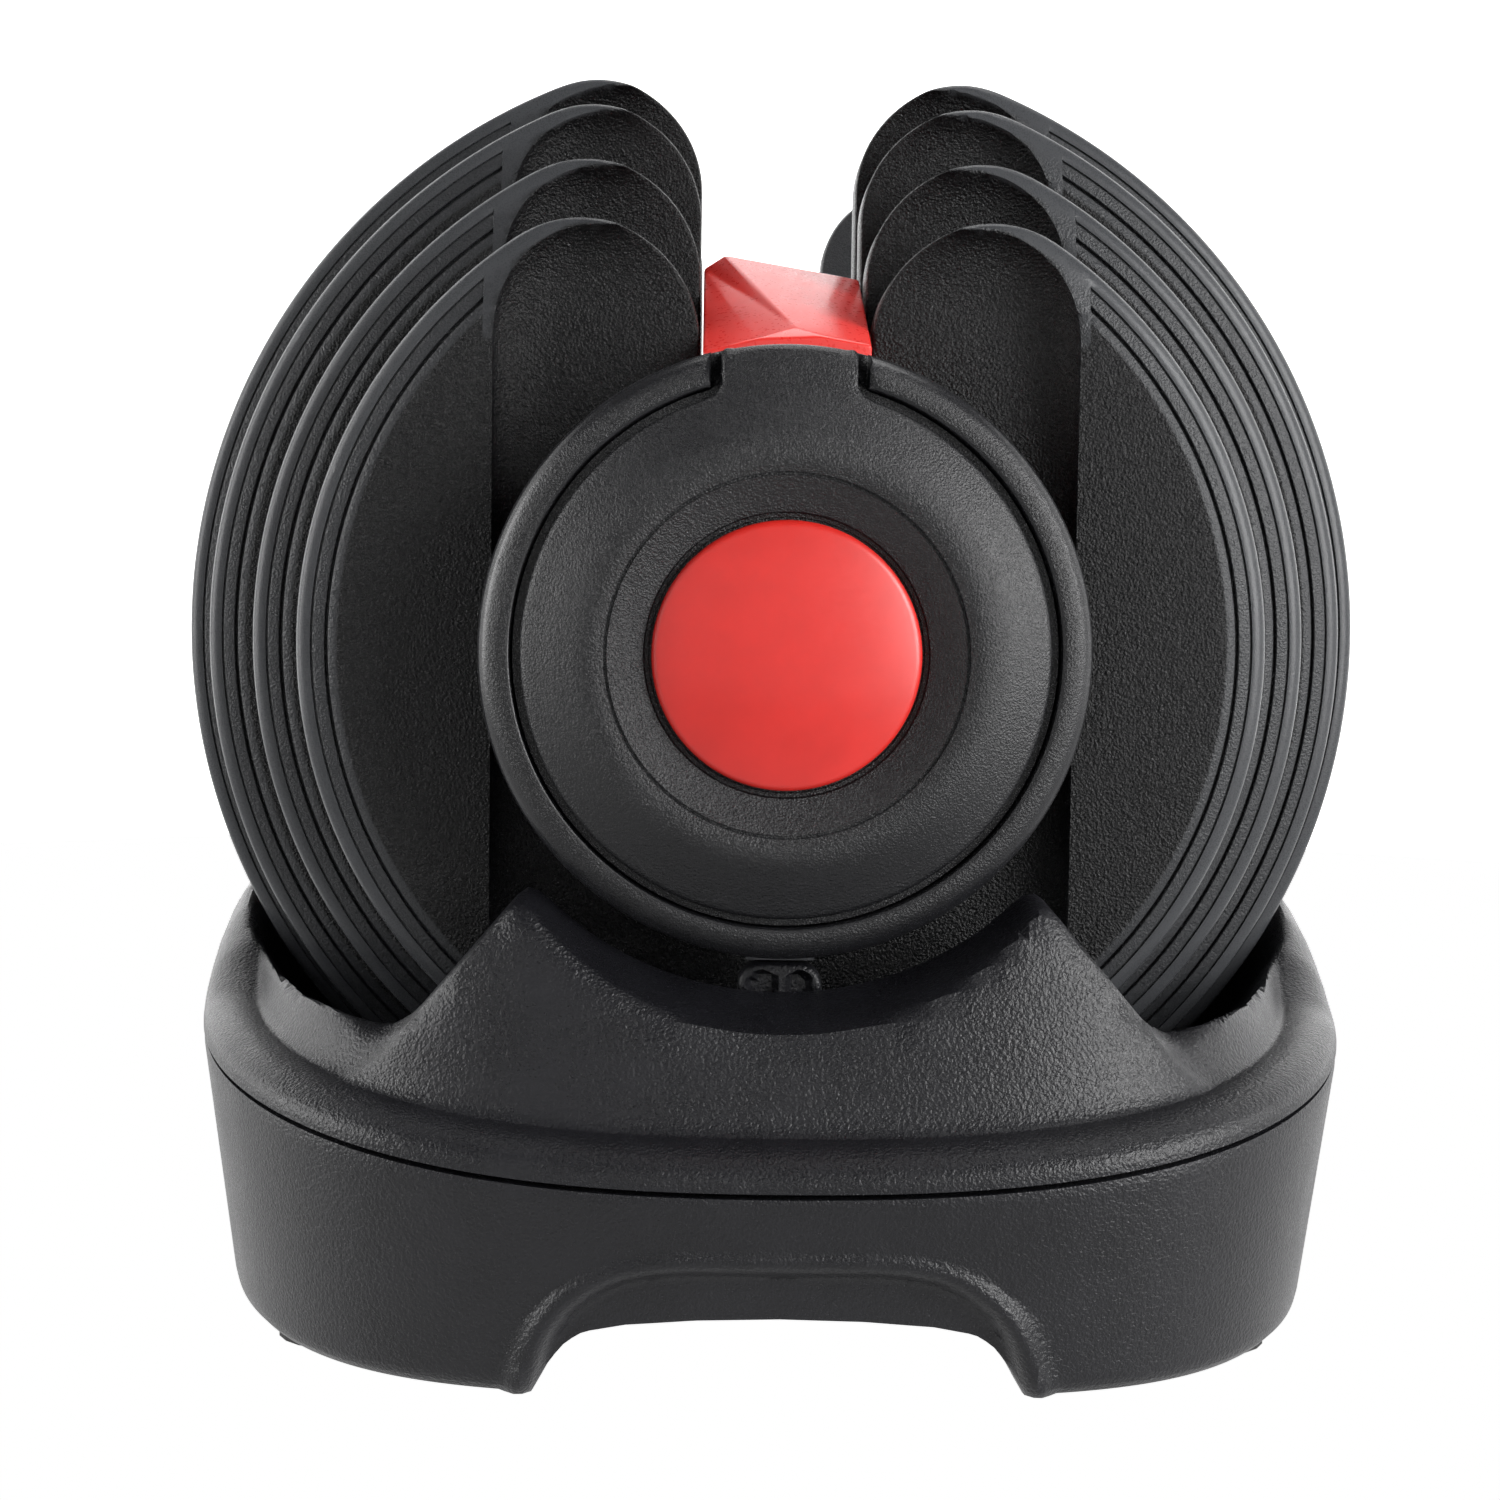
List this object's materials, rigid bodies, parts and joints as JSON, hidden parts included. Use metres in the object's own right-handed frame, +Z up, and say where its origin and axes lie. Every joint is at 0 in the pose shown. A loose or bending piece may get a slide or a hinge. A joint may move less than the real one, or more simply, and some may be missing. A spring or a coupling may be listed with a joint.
{
  "type": "adjustable dumbbell with cradle",
  "caption": "Twist-grip adjustable dumbbell whose slotted weight plates nest in a moulded two-part cradle with pockets and end handholds",
  "frame": {"origin": "on the floor under the middle of the cradle", "axes": "+Z up, Y along the handle, +X to the right seen from the front end, which faces -Y"},
  "size_m": [0.1984, 0.34, 0.199],
  "materials": {
    "tray_plastic": "black moulded plastic with a coarse leather grain",
    "plate_coating": "iron core under a black moulded skin with a fine matte grain",
    "cap_plastic": "black moulded plastic with a very fine sand texture",
    "red_plastic": "smooth semi-gloss red plastic",
    "selector_plastic": "dark grey glass-filled nylon",
    "grip_metal": "knurled matte steel",
    "steel": "zinc plated steel",
    "rubber": "soft black rubber"
  },
  "bodies": {
    "tray": {"tray_base": "tray_plastic", "tray_cover": "tray_plastic", "pocket_liner_front": "tray_plastic", "pocket_liner_rear": "tray_plastic", "unlock_post_front": "tray_plastic", "unlock_post_rear": "tray_plastic", "foot_front_left": "rubber", "foot_front_right": "rubber", "foot_rear_left": "rubber", "foot_rear_right": "rubber", "cover_screw_front_left": "steel", "cover_screw_front_right": "steel", "cover_screw_rear_left": "steel", "cover_screw_rear_right": "steel"},
    "handle": {"centre_rod": "steel", "inner_guard_front": "cap_plastic", "spine_bar_front": "steel", "slot_key_front": "red_plastic", "end_bracket_front": "steel", "rod_nut_front": "steel", "cap_ring_front": "cap_plastic", "cap_disc_front": "cap_plastic", "badge_front": "red_plastic", "lock_spring_front": "steel", "inner_guard_rear": "cap_plastic", "spine_bar_rear": "steel", "slot_key_rear": "red_plastic", "end_bracket_rear": "steel", "rod_nut_rear": "steel", "cap_ring_rear": "cap_plastic", "cap_disc_rear": "cap_plastic", "badge_rear": "red_plastic", "lock_spring_rear": "steel"},
    "selector": {"selector_tube": "steel", "grip_sleeve": "grip_metal", "selector_disc_front_1": "selector_plastic", "selector_disc_front_2": "selector_plastic", "selector_disc_front_3": "selector_plastic", "selector_disc_front_4": "selector_plastic", "selector_disc_rear_1": "selector_plastic", "selector_disc_rear_2": "selector_plastic", "selector_disc_rear_3": "selector_plastic", "selector_disc_rear_4": "selector_plastic", "detent_wheel_front": "steel", "detent_wheel_rear": "steel"},
    "lock_front": {"lock_slider_front": "selector_plastic"},
    "lock_rear": {"lock_slider_rear": "selector_plastic"},
    "weight_front_1": {"plate_front_1": "plate_coating"},
    "weight_front_2": {"plate_front_2": "plate_coating"},
    "weight_front_3": {"plate_front_3": "plate_coating"},
    "weight_front_4": {"plate_front_4": "plate_coating"},
    "weight_rear_1": {"plate_rear_1": "plate_coating"},
    "weight_rear_2": {"plate_rear_2": "plate_coating"},
    "weight_rear_3": {"plate_rear_3": "plate_coating"},
    "weight_rear_4": {"plate_rear_4": "plate_coating"}
  },
  "joints": [
    {"name": "handle_lift", "type": "slide", "parent": "tray", "child": "handle", "axis": [0, 0, 1], "range_m": [0, 0.2]},
    {"name": "grip_twist", "type": "hinge", "parent": "handle", "child": "selector", "pos_m": [0, 0, 0.106], "axis": [0, 1, 0], "range_deg": [-144, 0]},
    {"name": "lock_front_drop", "type": "slide", "parent": "handle", "child": "lock_front", "axis": [0, 0, 1], "range_m": [-0.0046, 0], "deforming": ["lock_spring_front"]},
    {"name": "lift_front_1", "type": "slide", "parent": "tray", "child": "weight_front_1", "axis": [0, 0, 1], "range_m": [0, 0.2]},
    {"name": "lift_front_2", "type": "slide", "parent": "tray", "child": "weight_front_2", "axis": [0, 0, 1], "range_m": [0, 0.2]},
    {"name": "lift_front_3", "type": "slide", "parent": "tray", "child": "weight_front_3", "axis": [0, 0, 1], "range_m": [0, 0.2]},
    {"name": "lift_front_4", "type": "slide", "parent": "tray", "child": "weight_front_4", "axis": [0, 0, 1], "range_m": [0, 0.2]},
    {"name": "lock_rear_drop", "type": "slide", "parent": "handle", "child": "lock_rear", "axis": [0, 0, 1], "range_m": [-0.0046, 0], "deforming": ["lock_spring_rear"]},
    {"name": "lift_rear_1", "type": "slide", "parent": "tray", "child": "weight_rear_1", "axis": [0, 0, 1], "range_m": [0, 0.2]},
    {"name": "lift_rear_2", "type": "slide", "parent": "tray", "child": "weight_rear_2", "axis": [0, 0, 1], "range_m": [0, 0.2]},
    {"name": "lift_rear_3", "type": "slide", "parent": "tray", "child": "weight_rear_3", "axis": [0, 0, 1], "range_m": [0, 0.2]},
    {"name": "lift_rear_4", "type": "slide", "parent": "tray", "child": "weight_rear_4", "axis": [0, 0, 1], "range_m": [0, 0.2]}
  ],
  "couplings": [
    {"joint": "lock_front_drop", "follows": "handle_lift", "ratio": -0.0225},
    {"joint": "lift_front_1", "follows": "handle_lift", "ratio": 1},
    {"joint": "lift_front_2", "follows": "handle_lift", "ratio": 1},
    {"joint": "lift_front_3", "follows": "handle_lift", "ratio": 1},
    {"joint": "lift_front_4", "follows": "handle_lift", "ratio": 1},
    {"joint": "lock_rear_drop", "follows": "handle_lift", "ratio": -0.0225},
    {"joint": "lift_rear_1", "follows": "handle_lift", "ratio": 1},
    {"joint": "lift_rear_2", "follows": "handle_lift", "ratio": 1},
    {"joint": "lift_rear_3", "follows": "handle_lift", "ratio": 1},
    {"joint": "lift_rear_4", "follows": "handle_lift", "ratio": 1}
  ]
}
